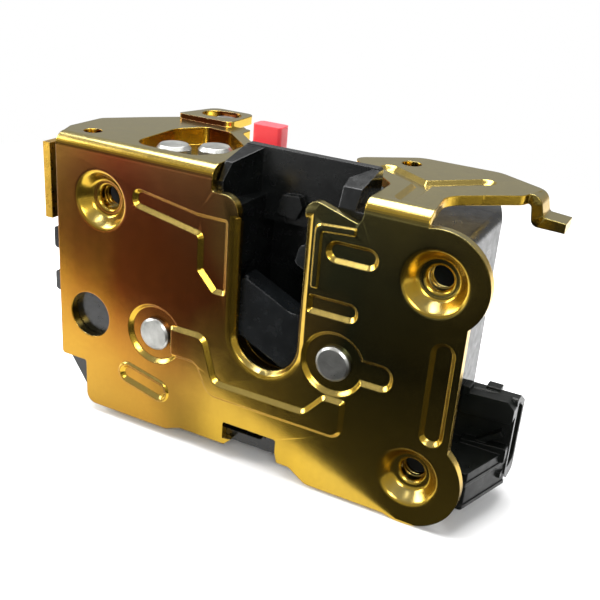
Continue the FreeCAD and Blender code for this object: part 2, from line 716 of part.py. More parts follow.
def claw_core():
    """Steel claw: hub, catch arm with its ratchet tooth, and hook."""
    body = new_body("claw_core")
    low = size.mouth_low - size.lining
    high = size.mouth_high + size.lining
    floor = size.mouth_floor - size.lining
    reach, tooth, foot = size.claw_reach, size.tooth_reach, size.arm_foot
    outline = claw_place([
        (reach, low, 0.8), (reach, -1.9, 0.6), (tooth - 4.6, foot + 5.6, 0.8),
        (tooth, foot, 0.6), (-2.0, foot, 6.0), (-8.6, -7.0, 5.0), (-9.6, 0.0, 5.0),
        (-7.0, 10.0, 6.0), (2.0, 18.5, 8.0), (14.5, 19.6, 4.0), (19.2, 15.8, 1.6),
        (18.4, high, 0.8), (floor, high, 5.0), (floor, low, 5.0),
    ])
    deep = "sizes.claw_front + sizes.cover_skin"
    add(body, draw(front(body, deep), outline), "sizes.claw_back - (%s)" % deep)
    bore = "sizes.pivot_shoulder / 2 + sizes.running_gap"
    cut(body, ring(front(body, deep), size.claw_x, size.claw_z, bore), "10")
    turn = math.radians(-22.0)
    x = size.claw_x + size.claw_leg * math.cos(turn)
    z = size.claw_z + size.claw_leg * math.sin(turn)
    cut(body, ring(front(body, "sizes.claw_back - 2.5"), x, z, "0.9"), "4")


def claw_cover():
    """Plastic skin over the claw's face that also lines the mouth."""
    body = new_body("claw_cover")
    low, high, floor = size.mouth_low, size.mouth_high, size.mouth_floor
    foot = size.arm_foot
    skin = claw_place([
        (size.claw_reach, low, 1.2), (size.claw_reach, -4.0, 2.0), (size.tooth_reach, foot, 0.8),
        (-2.0, foot, 6.0), (-8.6, -7.0, 5.0), (-9.6, 0.0, 5.0),
        (-7.0, 10.0, 6.0), (2.0, 18.5, 8.0), (14.5, 19.6, 4.0), (19.2, 15.8, 1.6),
        (18.4, high, 0.8), (floor, high, 5.0), (floor, low, 5.0),
    ])
    add(body, draw(front(body, "sizes.claw_front"), skin), "sizes.cover_skin")
    wall = size.lining
    lining = claw_place([
        (size.claw_reach, low, 0.3), (size.claw_reach, low - wall), (floor - wall, low - wall, 5.0),
        (floor - wall, high + wall, 5.0), (18.4, high + wall), (18.4, high, 0.3),
        (floor, high, 5.0), (floor, low, 5.0),
    ])
    deep = "sizes.claw_front + sizes.cover_skin"
    add(body, draw(front(body, deep), lining), "sizes.claw_back - (%s)" % deep)
    hub = "sizes.pivot_shoulder / 2 + sizes.running_gap + 0.1"
    cut(body, ring(front(body, "sizes.claw_front"), size.claw_x, size.claw_z, hub), "1.5")


def pawl_place(corners):
    return turned(corners, (size.pawl_x, size.pawl_z), size.pawl_rest)


def pawl():
    """Steel pawl that props the claw's tooth, with its release pin."""
    body = new_body("pawl")
    half, hub, reach, tail = size.pawl_half, size.pawl_hub, size.pawl_reach, size.pawl_tail
    outline = pawl_place([
        (reach, half, 0.5), (reach, -half, 0.8), (11.0, -half - 0.6, 5.0), (4.5, -hub, 4.0),
        (-4.0, -hub, 4.0), (-tail - 3.0, -2.8, 2.4), (-tail - 3.0, 2.8, 2.4), (-4.0, hub, 4.0),
        (4.0, hub, 4.0), (11.0, half, 4.0),
    ])
    deep = "sizes.claw_front + sizes.cover_skin + sizes.side_gap"
    add(body, draw(front(body, deep), outline), "sizes.claw_back - (%s)" % deep)
    bore = "sizes.pivot_shoulder / 2 + sizes.running_gap"
    cut(body, ring(front(body, deep), size.pawl_x, size.pawl_z, bore), "10")
    x, z = pawl_place([(-tail, 0.0)])[0]
    cut(body, ring(front(body, deep), x, z, "sizes.pawl_pin / 2 - 0.5 + sizes.press_gap"), "10")
    return x, z


def release_pin(x, z):
    """Pin pressed into the pawl's tail; the outer lever's fork holds it."""
    thin, thick = size.pawl_pin / 2 - 0.5, size.pawl_pin / 2
    start = size.claw_front + size.cover_skin + size.side_gap
    back = size.claw_back
    end = size.lever_front + size.lever_thick + 0.3
    spun("release_pin", [(0.0, start), (thin, start), (thin, back), (thick, back),
                         (thick, end - 0.4), (thick - 0.4, end), (0.0, end)], x, z)


claw_core()
claw_cover()
pin_spot = pawl()
release_pin(*pin_spot)

# Levers

def outer_release_lever():
    """Outside handle lever: fork on the pawl's pin, arm past the plate, folded tab."""
    body = new_body("outer_release_lever")
    face = "sizes.lever_front"
    x, z = size.lever_x, size.lever_z
    pin_x, pin_z = pin_spot
    heading = math.degrees(math.atan2(pin_z - z, pin_x - x))
    reach = math.hypot(pin_x - x, pin_z - z)
    fork = turned([(-4.6, -4.6, 4.0), (reach + 2.6, -4.2, 1.5), (reach + 2.6, 4.2, 1.5),
                   (-4.6, 4.6, 4.0)], (x, z), heading)
    add(body, draw(front(body, face), fork), "sizes.lever_thick")
    arm = [(x + 3.4, z - 1.0, 2.0), (x + 1.0, z + 7.0, 6.0), (-55.6, 17.0, 4.0), (-55.6, 31.2, 1.5),
           (-61.0, 31.2), (-61.0, 13.4), (-56.0, 8.5, 5.0), (x - 4.2, z - 2.6, 3.0)]
    add(body, draw(front(body, face), arm), "sizes.lever_thick")
    tab = box(-61.0, 13.4, -59.0, 31.2)
    add(body, draw(front(body, "3.2"), tab), "sizes.lever_front + sizes.lever_thick - 3.2")
    bore = "2.5 + sizes.running_gap"
    cut(body, ring(front(body, face), x, z, bore), "sizes.lever_thick")
    half = size.pawl_pin / 2 + size.side_gap
    mouth = turned([(reach - half - 0.4, -half, half - 0.2), (reach + 9.0, -half),
                    (reach + 9.0, half), (reach - half - 0.4, half, half - 0.2)], (x, z), heading)
    cut(body, draw(front(body, face), mouth), "sizes.lever_thick")
    hole = sketch(body, "YZ_Plane", "-62")
    cut(body, ring(hole, 7.6, 25.5, "2.1"), "4", reverse=True)


def lever_pivot():
    """Headed pin of the outer lever, riveted in the back plate."""
    foot, shoulder = size.back_plate_front, size.back_plate_front + size.back_plate_thick
    end = size.lever_front + size.lever_thick + 0.05
    spun("lever_pivot", [(0.0, foot), (2.0, foot), (2.0, shoulder), (3.4, shoulder),
                         (3.4, size.lever_front - 0.08), (2.5, size.lever_front - 0.08),
                         (2.5, end), (3.5, end), (3.2, end + 0.3), (0.0, end + 0.3)],
         size.lever_x, size.lever_z)


def top_rivet(label, x, y, seat, lever, lever_thick, head, high=2.4):
    """A rivet through the top flange that carries a lever under it."""
    gap = 0.08
    shank, shoulder = size.rivet_shank / 2, size.rivet_shank / 2 + 0.9
    floor = seat - size.recess_wall
    profile = [(0.0, seat + high), (head - 0.7, seat + high), (head, seat + high - 0.8), (head, seat),
               (shank, seat), (shank, floor), (shoulder, floor), (shoulder, lever + lever_thick + gap),
               (shank, lever + lever_thick + gap), (shank, lever - gap),
               (shank + 1.2, lever - gap), (shank + 0.9, lever - gap - 0.9), (0.0, lever - gap - 0.9)]
    body = new_body(label)
    item = sketch(body, "XZ_Plane")
    points = [Vector(radius, height, 0) for radius, height in profile]
    draw(item, [Part.LineSegment(a, b) for a, b in zip(points, points[1:] + points[:1])])
    feature = body.newObject("PartDesign::Revolution", label + "_turn")
    feature.Profile = item
    feature.ReferenceAxis = (item, ["V_Axis"])
    feature.Angle = 360.0
    body.Placement = Placement(Vector(x, y, 0), Rotation())


def inside_release_lever():
    """Lever for the inside handle cable, turning on the first flange rivet."""
    body = new_body("inside_release_lever")
    x, y = size.rivet_a_x, size.rivet_a_y
    under = "sizes.top_layer"
    outline = [(x - 4.2, y - 4.2, 4.1), (x + 4.2, y - 4.2, 4.1), (x + 4.2, y + 4.2, 4.1),
               (x - 2.0, y + 4.2, 1.0), (-37.0, 20.0, 4.0), (-44.5, 30.5, 3.0), (-49.0, 35.2, 2.6),
               (-55.0, 34.2, 3.0), (-54.6, 28.0, 2.6), (-44.0, 19.5, 5.0)]
    add(body, draw(level(body, under), outline), "sizes.lever_thick", towards_back=False)
    bore = "sizes.rivet_shank / 2 + sizes.running_gap"
    cut(body, ring(level(body, "sizes.top_layer + 2"), x, y, bore), "2")
    cut(body, ring(level(body, "sizes.top_layer + 2"), -51.5, 31.5, "1.6"), "2")


def lock_lever():
    """Lever under the rear rivet that the rack's post swings between locked and free."""
    body = new_body("lock_lever")
    x, y = size.rivet_c_x, size.rivet_c_y
    post_y = size.rack_front + size.rack_thick / 2
    heading = math.degrees(math.atan2(post_y - y, size.post_x - x))
    reach = math.hypot(post_y - y, size.post_x - x)
    arm = turned([(-5.0, -5.0, 4.6), (2.0, -5.0, 3.0), (reach - 4.0, -3.6, 3.0),
                  (reach + 2.6, -3.6, 1.2), (reach + 2.6, 3.6, 1.2), (reach - 4.0, 3.6, 3.0),
                  (2.0, 5.0, 3.0), (-5.0, 5.0, 4.6)], (x, y), heading)
    under = "sizes.low_layer"
    add(body, draw(level(body, under), arm), "sizes.lever_thick", towards_back=False)
    rod_arm = [(x - 4.0, y - 3.6, 2.0), (x - 16.5, y - 3.0, 2.6), (x - 16.5, y + 3.2, 2.6),
               (x - 2.0, y + 4.9, 2.0)]
    add(body, draw(level(body, under), rod_arm), "sizes.lever_thick", towards_back=False)
    above = "sizes.low_layer + sizes.lever_thick"
    cut(body, ring(level(body, above), x, y, "sizes.rivet_shank / 2 + sizes.running_gap"), "2")
    cut(body, ring(level(body, above), x - 13.5, y, "1.5"), "2")
    half = size.post_pin + size.side_gap
    mouth = turned([(reach - 3.0, -half, half - 0.3), (reach + 8.0, -half), (reach + 8.0, half),
                    (reach - 3.0, half, half - 0.3)], (x, y), heading)
    cut(body, draw(level(body, above), mouth), "2")


def child_lock_lever():
    """Red plastic lever on the second rivet, with the tip that stands above the flange."""
    body = new_body("child_lock_lever")
    x, y = size.rivet_b_x, size.rivet_b_y
    under = "sizes.top_layer"
    outline = [(x - 4.2, y - 4.2, 4.1), (x + 4.2, y - 4.2, 4.1), (x + 5.0, y + 6.0, 4.0),
               (-12.8, 26.4, 1.0), (-12.8, 30.8, 1.5), (-20.4, 30.8, 1.5), (x - 4.2, y + 4.0, 4.0)]
    add(body, draw(level(body, under), outline), "sizes.lever_thick", towards_back=False)
    tip = [(-20.0, 26.2, 0.8), (-12.8, 26.2, 0.8), (-12.8, 30.6, 1.0), (-20.0, 30.6, 1.0)]
    add(body, draw(level(body, under), tip), "38.4 - sizes.top_layer", towards_back=False)
    above = "sizes.top_layer + sizes.lever_thick"
    cut(body, ring(level(body, above), x, y, "sizes.rivet_shank / 2 + sizes.running_gap"), "2")


outer_release_lever()
lever_pivot()
top_rivet("inside_lever_rivet", size.rivet_a_x, size.rivet_a_y, size.recess_floor,
          size.top_layer, size.lever_thick, size.rivet_head / 2, 3.6)
top_rivet("child_lever_rivet", size.rivet_b_x, size.rivet_b_y, size.recess_floor,
          size.top_layer, size.lever_thick, size.rivet_head / 2, 3.6)
top_rivet("lock_lever_rivet", size.rivet_c_x, size.rivet_c_y, 33.0,
          size.low_layer, size.lever_thick, 3.1)
inside_release_lever()
lock_lever()
child_lock_lever()


# Actuator

def case_outline():
    right, foot, top, low = size.case_right, size.case_foot, size.case_top, size.case_low_top
    return [(-52.5, low, 3.0), (-52.5, -16.0, 4.0), (-44.0, foot, 5.0), (right, foot, 3.0),
            (right, top, 2.0), (size.case_step_x, top, 1.0), (size.case_step_x, low, 0.6)]


def post_window():
    """Room for the rack's post over its stroke."""
    front_edge, back_edge = size.rack_front - 0.6, size.rack_front + size.rack_thick + 0.6
    left = size.post_x - size.rack_stroke - size.post_half - 0.8
    return box(left, front_edge, size.post_x + size.post_half + 0.8, back_edge, 0.6)


def actuator_housing():
    """Moulded case, open at the back, that steps round the striker channel."""
    body = new_body("actuator_housing")
    depth = "sizes.case_back - sizes.case_front"
    wall = size.case_wall
    outline = case_outline()
    add(body, draw(front(body, "sizes.case_front"), outline), depth)
    edge = size.channel_half + size.channel_wall + size.side_gap
    back_of_channel = size.channel_floor_low + size.channel_wall + size.side_gap
    notch = [(-edge, 40.0), (-edge, -edge, edge - 1.0), (edge, -edge, edge - 1.0), (edge, 40.0)]
    cut(body, draw(front(body, "sizes.case_front"), notch),
        "sizes.channel_floor_low + sizes.channel_wall + sizes.side_gap - sizes.case_front")
    hood = box(-14.2, 23.4, 17.6, 40.0)
    cut(body, draw(front(body, "sizes.case_front"), hood),
        "sizes.channel_floor_high + sizes.channel_wall + sizes.side_gap - sizes.case_front")
    inner = inset(outline, wall)
    open_back = "sizes.case_back"
    deep = size.case_back - back_of_channel - wall
    cut(body, draw(front(body, open_back), inner), str(deep), reverse=True)
    left_bay = [(-12.6, 19.4, 1.0), (-12.6, -26.4, 1.0), (-43.4, -26.4, 3.6), (-50.9, -15.6, 3.0),
                (-50.9, 19.4, 2.0)]
    right_bay = box(11.4, -26.4, size.case_right - wall, 21.0, 1.0)
    bay_depth = "sizes.case_back - sizes.case_front - sizes.case_wall"
    cut(body, draw(front(body, open_back), left_bay, right_bay), bay_depth, reverse=True)
    bore = "sizes.spindle / 2 + sizes.press_gap"
    boss = ring(front(body, "sizes.case_front"), size.wheel_x, size.wheel_z, "3.2")
    add(body, boss, "sizes.case_wall + 0.7")
    cut(body, ring(front(body, "sizes.case_front + 0.6"), size.wheel_x, size.wheel_z, bore), "3")
    cut(body, draw(level(body, "sizes.case_low_top"), post_window()), "sizes.case_wall + 3.4")
    sill_z = size.case_right - wall - 1.0
    window = sketch(body, "YZ_Plane", str(sill_z))
    cut(body, draw(window, plug_base(0.15)), "6", reverse=True)
    for x, z in case_screws():
        add(body, ring(front(body, "sizes.case_back - 10"), x, z, "3"), "10")
        cut(body, ring(front(body, open_back), x, z, "1.1"), "9", reverse=True)


def case_screws():
    right, foot = size.case_right - 9.5, size.case_foot + 4.4
    return [(right, size.case_top - 4.4), (right, foot), (0.0, foot), (-39.5, foot),
            (-48.1, size.case_low_top - 4.4), (0.0, size.case_top - 4.4)]


def actuator_cover():
    """Deep lid on the back of the case, with a rim, screw columns, motor cradle and post."""
    body = new_body("actuator_cover")
    parting, floor = "sizes.case_back", "sizes.case_back + sizes.cover_deep"
    outline, wall = case_outline(), size.cover_wall
    add(body, draw(front(body, parting), outline), "sizes.cover_deep + sizes.cover_thick")
    right, lean = size.case_right, size.case_lean / size.cover_deep
    middle_x = right - size.case_lean - wall
    hollow = [(min(c[0], middle_x),) + tuple(c[1:]) for c in inset(outline, wall)]
    cut(body, draw(front(body, parting), hollow), "sizes.cover_deep")
    near, far = size.case_back, size.case_back + size.cover_deep
    wedge = [(middle_x - 0.5, near), (right - wall, near), (middle_x, far), (middle_x - 0.5, far)]
    cut(body, draw(level(body, "sizes.case_top - sizes.cover_wall"), wedge),
        "sizes.case_top - sizes.case_foot - 2 * sizes.cover_wall")
    back = far + size.cover_thick
    slant = [(right, near), (right + 1.0, near), (right + 1.0, back),
             (right - lean * (back - near), back)]
    cut(body, draw(level(body, "sizes.case_top + 1"), slant), "sizes.case_top - sizes.case_foot + 2")
    rim_out, rim_in = inset(outline, size.case_wall + 0.15), inset(outline, wall)
    add(body, draw(front(body, "sizes.case_back - 1.5"), rim_out, rim_in), "1.5")
    low = size.motor_z() - size.motor_high / 2 - 0.15
    high = size.motor_z() + size.motor_high / 2 + 0.15
    middle = size.motor_x()
    for z in (low - 1.4, high):
        rib = box(middle - 7.0, z, middle + 2.0, z + 1.4)
        add(body, draw(front(body, "sizes.motor_front + 1"), rib),
            floor + " - sizes.motor_front - 1")
    post = ring(front(body, "sizes.rack_front + sizes.rack_thick + 0.6"),
                size.wheel_x, size.wheel_z, "3.2")
    add(body, post, floor + " - sizes.rack_front - sizes.rack_thick - 0.6")
    bore = "sizes.spindle / 2 + sizes.press_gap"
    cut(body, ring(front(body, "sizes.rack_front + sizes.rack_thick"),
                   size.wheel_x, size.wheel_z, bore), "9")
    for x, z in case_screws():
        cut(body, ring(front(body, "sizes.case_back - 1.5"), x, z, "3.4"), "1.5")
        add(body, ring(front(body, parting), x, z, "3.3"), "sizes.cover_deep")
        cut(body, ring(front(body, parting), x, z, "1.5"), "sizes.cover_deep + sizes.cover_thick")
    for index in range(5):
        x = -44.0 + 7.0 * index
        rib = box(x, -20.0, x + 1.4, 14.0, 0.5)
        add(body, draw(front(body, floor + " + sizes.cover_thick"), rib), "1.2")
    hump = box(13.0, 1.5, 31.0, 19.0, 3.0)
    pressed(body, hump, front(body, floor + " + sizes.cover_thick"),
            front(body, floor + " + sizes.cover_thick + 1.6"), raised=True)


def cover_screws():
    """Pan head screws that hold the lid, one solid each."""
    back = size.case_back + size.cover_deep + size.cover_thick
    screws = []
    for x, z in case_screws():
        into = Vector(0, -1, 0)
        head = Part.makeCylinder(2.4, 1.5, Vector(x, back + 1.5, z), into)
        shank = Part.makeCylinder(1.08, size.cover_deep + 8.0, Vector(x, back + 0.2, z), into)
        slot_a = Part.makeBox(3.0, 0.8, 0.7, Vector(x - 1.5, back + 0.8, z - 0.35))
        slot_b = Part.makeBox(0.7, 0.8, 3.0, Vector(x - 0.35, back + 0.8, z - 1.5))
        screws.append(head.fuse(shank).cut(slot_a.fuse(slot_b)).removeSplitter())
    solid("cover_screws", Part.makeCompound(screws))


def plug_base(grow=0.0):
    """Outline of the connector's foot on the case wall, seen along X."""
    return box(size.plug_front + 0.4 - grow, size.plug_low - grow,
               size.plug_back - 0.4 + grow, size.plug_high - 4.6 + grow, 0.8)


def connector_shroud():
    """Plug housing on the right wall, with its cavity, front ledges, braces and lug."""
    body = new_body("connector_shroud")
    wall_in = size.case_right - size.case_wall
    near, rear, low, high = size.plug_front, size.plug_back, size.plug_low, size.plug_high
    foot = sketch(body, "YZ_Plane", str(wall_in))
    add(body, draw(foot, plug_base()), "sizes.case_wall", towards_back=False)
    tube = sketch(body, "YZ_Plane", "sizes.case_right")
    outline = [(near, low + 0.6, 0.6), (near + 3.0, low - 2.0, 0.8), (rear, low - 2.0, 1.6),
               (rear, high - 3.6, 1.0), (rear - 5.6, high, 0.8), (near, high, 0.8)]
    add(body, draw(tube, outline), "sizes.plug_long", towards_back=False)
    end = sketch(body, "YZ_Plane", "sizes.case_right + sizes.plug_long")
    cavity = [(near + 1.4, low + 1.2, 0.8), (rear - 1.4, low + 1.2, 0.8),
              (rear - 1.4, high - 4.6, 0.6), (rear - 5.8, high - 1.6, 0.6),
              (near + 1.4, high - 1.6, 0.8)]
    cut(body, draw(end, cavity), "sizes.plug_long - 1.2")
    left, right = size.case_right + 0.3, size.case_right + size.plug_long
    ledge = near - 2.4
    block = [(left + 1.6, high - 5.2, 0.8), (right, high - 4.8, 1.0), (right, high - 1.6, 0.6),
             (right - 1.6, high + 0.1, 0.4), (left + 1.6, high - 0.4, 0.4)]
    shelf = [(left + 3.0, high - 14.6), (right - 0.2, high - 14.2, 0.6),
             (right - 0.2, high - 10.8, 0.6), (left + 3.0, high - 11.4)]
    lip = [(left + 4.0, low + 0.6), (right - 0.4, low + 0.8), (right - 0.4, low + 2.0),
           (left + 4.0, low + 2.0)]
    lug = box(left + 1.6, high - 1.4, left + 3.2, high + 1.0, 0.3)
    for corners in (block, shelf, lip, lug):
        add(body, draw(front(body, str(ledge)), corners), str(near + 0.8 - ledge))
    brace = turned(box(0.0, -0.6, 12.6, 0.6), (left + 1.0, high - 15.6), 37.0)
    add(body, draw(front(body, str(ledge + 0.8)), brace), str(near - ledge))
    skirt = [(left, near - 7.6), (right - 9.4, near - 9.2, 0.8), (right - 6.4, near - 13.4, 0.6),
             (right - 5.0, near - 13.4, 0.8), (right - 0.2, near + 0.6), (left, near + 0.6)]
    add(body, draw(level(body, str(low - 2.0)), skirt), "8.4", towards_back=False)
    hem = [(x, y - 0.6, *more) for x, y, *more in skirt[:4]] + [(right, near + 0.6), skirt[5]]
    for height in (low - 2.0, low + 3.4):
        add(body, draw(level(body, str(height)), hem), "0.9", towards_back=False)
    ramp = sketch(body, "YZ_Plane", "sizes.case_right + 6")
    add(body, draw(ramp, box(near + 1.2, high - 0.4, near + 4.0, high + 0.6, 0.3)), "3.0",
        towards_back=False)
    for y, z in pin_places():
        slit = sketch(body, "YZ_Plane", str(wall_in))
        cut(body, draw(slit, box(y - 0.35, z - 0.85, y + 0.35, z + 0.85)), "4", reverse=True)


def pin_places():
    return [(20.4 + 2.2 * column, -21.4 + 3.3 * row) for column in range(2) for row in range(4)]


def connector_pins():
    """Blade terminals through the foot of the plug, each bent down inside the case."""
    pins = []
    start = size.case_right - size.case_wall - 2.6
    for y, z in pin_places():
        blade = Part.makeBox(size.plug_long - 0.4, 0.6, 1.6, Vector(start, y - 0.3, z - 0.8))
        leg = Part.makeBox(0.8, 0.6, 3.2, Vector(start, y - 0.3, z - 2.4))
        pins.append(blade.fuse(leg).removeSplitter())
    solid("connector_pins", Part.makeCompound(pins))


def gear_edges(teeth, turn, tip_share=0.9):
    """Outline of a spur gear; each flank is an arc through three involute points."""
    module, press = size.gear_module, math.radians(25.0)
    pitch = module * teeth / 2
    base = pitch * math.cos(press)
    tip, root = pitch + tip_share * module, pitch - 1.15 * module
    half = math.pi / (2 * teeth) - size.gear_backlash / (2 * pitch)

    def swing(radius):
        if radius <= base:
            return half + math.tan(press) - press
        angle = math.acos(base / radius)
        return half + (math.tan(press) - press) - (math.tan(angle) - angle)

    def spot(radius, angle):
        return Vector(radius * math.cos(angle), radius * math.sin(angle), 0)

    edges = []
    low = max(base, root + 0.05)
    step = 2 * math.pi / teeth
    for tooth in range(int(teeth)):
        centre = turn + tooth * step
        knee = (low + tip) / 2
        rise = [spot(low, centre - swing(low)), spot(knee, centre - swing(knee)),
                spot(tip, centre - swing(tip))]
        fall = [spot(tip, centre + swing(tip)), spot(knee, centre + swing(knee)),
                spot(low, centre + swing(low))]
        foot_a, foot_b = spot(root, centre - swing(low)), spot(root, centre + swing(low))
        next_foot = spot(root, centre + step - swing(low))
        edges += [Part.LineSegment(foot_a, rise[0]), Part.Arc(*rise),
                  Part.LineSegment(rise[2], fall[0]), Part.Arc(*fall),
                  Part.LineSegment(fall[2], foot_b), Part.LineSegment(foot_b, next_foot)]
    return edges


def gear(teeth, turn, thick, x, y, z, tip_share=0.9):
    """A spur gear on an axis into the door; turn is the angle of one tooth, front view."""
    wire = Part.Wire([edge.toShape() for edge in gear_edges(teeth, turn, tip_share)])
    flat = Part.Face(wire)
    shape = flat.extrude(Vector(0, 0, -thick))
    shape.rotate(Vector(0, 0, 0), Vector(1, 0, 0), 90)
    shape.translate(Vector(x, y, z))
    return shape


def drive_wheel():
    """Toothed wheel with the small pinion of the rack moulded on its back."""
    toward_motor = math.atan2(size.motor_z() - size.wheel_z, size.motor_x() - size.wheel_x)
    x, z = size.wheel_x, size.wheel_z
    axis = Vector(0, 1, 0)
    wheel = gear(size.wheel_teeth, toward_motor, size.wheel_thick, x, size.wheel_front, z)
    rear = size.wheel_front + size.wheel_thick
    half_step = math.pi / size.rack_pinion_teeth
    small = gear(size.rack_pinion_teeth, -math.pi / 2 + half_step, size.rack_thick, x,
                 size.rack_front, z)
    collar = Part.makeCylinder(3.0, size.rack_front - rear, Vector(x, rear, z), axis)
    web_out = size.gear_module * size.wheel_teeth / 2 - 2.6
    web = Part.makeCylinder(web_out, 1.1, Vector(x, size.wheel_front, z), axis)
    web = web.cut(Part.makeCylinder(4.2, 1.1, Vector(x, size.wheel_front, z), axis))
    back_web = Part.makeCylinder(web_out, 1.1, Vector(x, rear - 1.1, z), axis)
    back_web = back_web.cut(Part.makeCylinder(4.2, 1.1, Vector(x, rear - 1.1, z), axis))
    shape = wheel.cut(web).cut(back_web).fuse([collar, small])
    length = size.rack_front + size.rack_thick - size.wheel_front
    bore = Part.makeCylinder(size.spindle / 2 + size.running_gap, length,
                             Vector(x, size.wheel_front, z), axis)
    solid("drive_wheel", shape.cut(bore).removeSplitter())


def wheel_spindle():
    start = size.case_front + 0.7
    end = size.rack_front + size.rack_thick + 8.0
    spun("wheel_spindle", [(0.0, start), (size.spindle / 2, start), (size.spindle / 2, end - 0.3),
                           (size.spindle / 2 - 0.3, end), (0.0, end)], size.wheel_x, size.wheel_z)


def lock_rack():
    """Sliding rack under the small pinion, with the post that swings the lock lever."""
    body = new_body("lock_rack")
    module, press = size.gear_module, math.radians(25.0)
    pitch_z = size.wheel_z - module * size.rack_pinion_teeth / 2
    pitch = math.pi * module
    tip, root = pitch_z + 0.85 * module, pitch_z - 1.1 * module
    half = pitch / 4 - size.gear_backlash / 2
    lean_up, lean_down = 0.85 * module * math.tan(press), 1.1 * module * math.tan(press)
    left, right = size.post_x - size.post_half - 0.4, size.wheel_x + 9.0
    points = [(left, root - 3.6), (right, root - 3.6), (right, root)]
    first = 3
    for tooth in range(first, -first - 1, -1):
        centre = size.wheel_x + tooth * pitch
        points += [(centre + half + lean_down, root), (centre + half - lean_up, tip),
                   (centre - half + lean_up, tip), (centre - half - lean_down, root)]
    points += [(left, root)]
    add(body, draw(front(body, "sizes.rack_front"), points), "sizes.rack_thick")
    post = box(size.post_x - size.post_half, root - 3.6, size.post_x + size.post_half,
               size.low_layer - 0.6)
    add(body, draw(front(body, "sizes.rack_front + 0.1"), post), "sizes.rack_thick - 0.2")
    pin = ring(level(body, "sizes.low_layer - 0.6"), size.post_x,
               size.rack_front + size.rack_thick / 2, "sizes.post_pin")
    add(body, pin, "sizes.lever_thick + 1", towards_back=False)


def motor_parts():
    """Motor can, its rear cap, and the shaft with the pinion pressed on."""
    x, z = size.motor_x(), size.motor_z()
    start, end = "sizes.motor_front", "sizes.motor_front + sizes.motor_long"
    wide, high = size.motor_wide / 2, size.motor_high / 2
    can = new_body("motor_can")
    outline = box(x - wide, z - high, x + wide, z + high, high - 0.6)
    add(can, draw(front(can, start), outline), "sizes.motor_long - 2.6")
    add(can, ring(front(can, start + " - 1.2"), x, z, "3.1"), "1.2")
    bore = "sizes.motor_shaft / 2 + sizes.running_gap"
    cut(can, ring(front(can, start + " - 1.2"), x, z, bore), "12")
    cap = new_body("motor_end_cap")
    add(cap, draw(front(cap, end + " - 2.6"), inset(outline, 0.5)), "2.6")
    add(cap, ring(front(cap, end), x, z, "2.6"), "1.2")
    for side in (-1, 1):
        brush = box(x + side * 6.0 - 1.5, z - 1.0, x + side * 6.0 + 1.5, z + 1.0)
        add(cap, draw(front(cap, end), brush), "0.8")
    shaft_front = size.wheel_front - 0.6
    axis = Vector(0, 1, 0)
    shaft = Part.makeCylinder(size.motor_shaft / 2, size.motor_front + 8.0 - shaft_front,
                              Vector(x, shaft_front, z), axis)
    toward_wheel = math.atan2(size.wheel_z - z, size.wheel_x - x)
    half_step = math.pi / size.pinion_teeth
    pinion = gear(size.pinion_teeth, toward_wheel + half_step, size.wheel_thick, x,
                  size.wheel_front, z)
    bore = Part.makeCylinder(size.motor_shaft / 2, size.wheel_thick,
                             Vector(x, size.wheel_front, z), axis)
    solid("motor_pinion", pinion.cut(bore))
    solid("motor_shaft", shaft)


def switches():
    """Two microswitches on the floor of the case: door ajar and lock state."""
    floor = size.case_foot + size.case_wall
    for label, x in (("door_ajar_switch", 9.4), ("lock_state_switch", -30.0)):
        body = new_body(label)
        outline = [(x, floor), (x + 12.8, floor), (x + 12.8, floor + 6.2, 0.4),
                   (x, floor + 6.2, 0.4)]
        add(body, draw(front(body, "25.2"), outline), "5.8")
        button = box(x + 8.6, floor + 6.0, x + 10.4, floor + 7.4, 0.3)
        add(body, draw(front(body, "26.8"), button), "2.6")
        for side in (3.2, 9.6):
            cut(body, ring(front(body, "25.2"), x + side, floor + 2.0, "1.1"), "5.8")


actuator_housing()
actuator_cover()
cover_screws()
connector_shroud()
connector_pins()
drive_wheel()
wheel_spindle()
lock_rack()
motor_parts()
switches()


# Springs

def coil(x, z, radius, wire, start, turns, first, leg_out, leg_in):
    """A torsion spring round an axis into the door, with a straight leg at each end."""
    pitch = wire * 1.12
    helix = Part.makeHelix(pitch, pitch * turns, radius)
    begin, finish = helix.Edges[0].firstVertex().Point, helix.Edges[-1].lastVertex().Point
    path = Part.Wire(helix.Edges)
    section = Part.Wire(Part.makeCircle(wire / 2, begin, Vector(0, 1, 0)))
    body = path.makePipeShell([section], True, True)
    end_turn = 2 * math.pi * turns
    tangent = Vector(-math.sin(end_turn), math.cos(end_turn), 0)
    leg_a = Part.makeCylinder(wire / 2, leg_out, begin, Vector(0, -1, 0))
    leg_b = Part.makeCylinder(wire / 2, leg_in, finish, tangent)
    shape = body.fuse([leg_a, leg_b])
    twist = Placement(Vector(), Rotation(Vector(0, 0, 1), first))
    move = Placement(Vector(x, start, z), Rotation(Vector(1, 0, 0), -90))
    return shape.transformed(move.multiply(twist).toMatrix(), copy=True)


solid("claw_spring", coil(size.claw_x, size.claw_z, size.claw_leg, 0.9, size.spring_front, 1.3,
                          22.0, 5.0, 1.2))
solid("pawl_spring", coil(size.pawl_x, size.pawl_z, 4.7, 0.8, size.spring_front, 1.3,
                          22.0, 4.0, 4.0))

doc.recompute()

for thing in doc.Objects:
    if "Invalid" in thing.State or "Error" in thing.State:
        raise RuntimeError("failed: " + thing.Label)

os.makedirs("parts", exist_ok=True)
for piece in BODIES:
    if piece.Shape.isNull() or not piece.Shape.isValid():
        raise RuntimeError("bad shape: " + piece.Label)
    piece.Shape.exportStep(os.path.join("parts", piece.Label + ".step"))
    print(piece.Label, len(piece.Shape.Solids), round(piece.Shape.Volume, 1))
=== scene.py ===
import json
import math

import bmesh
import bpy
from mathutils import Matrix, Vector


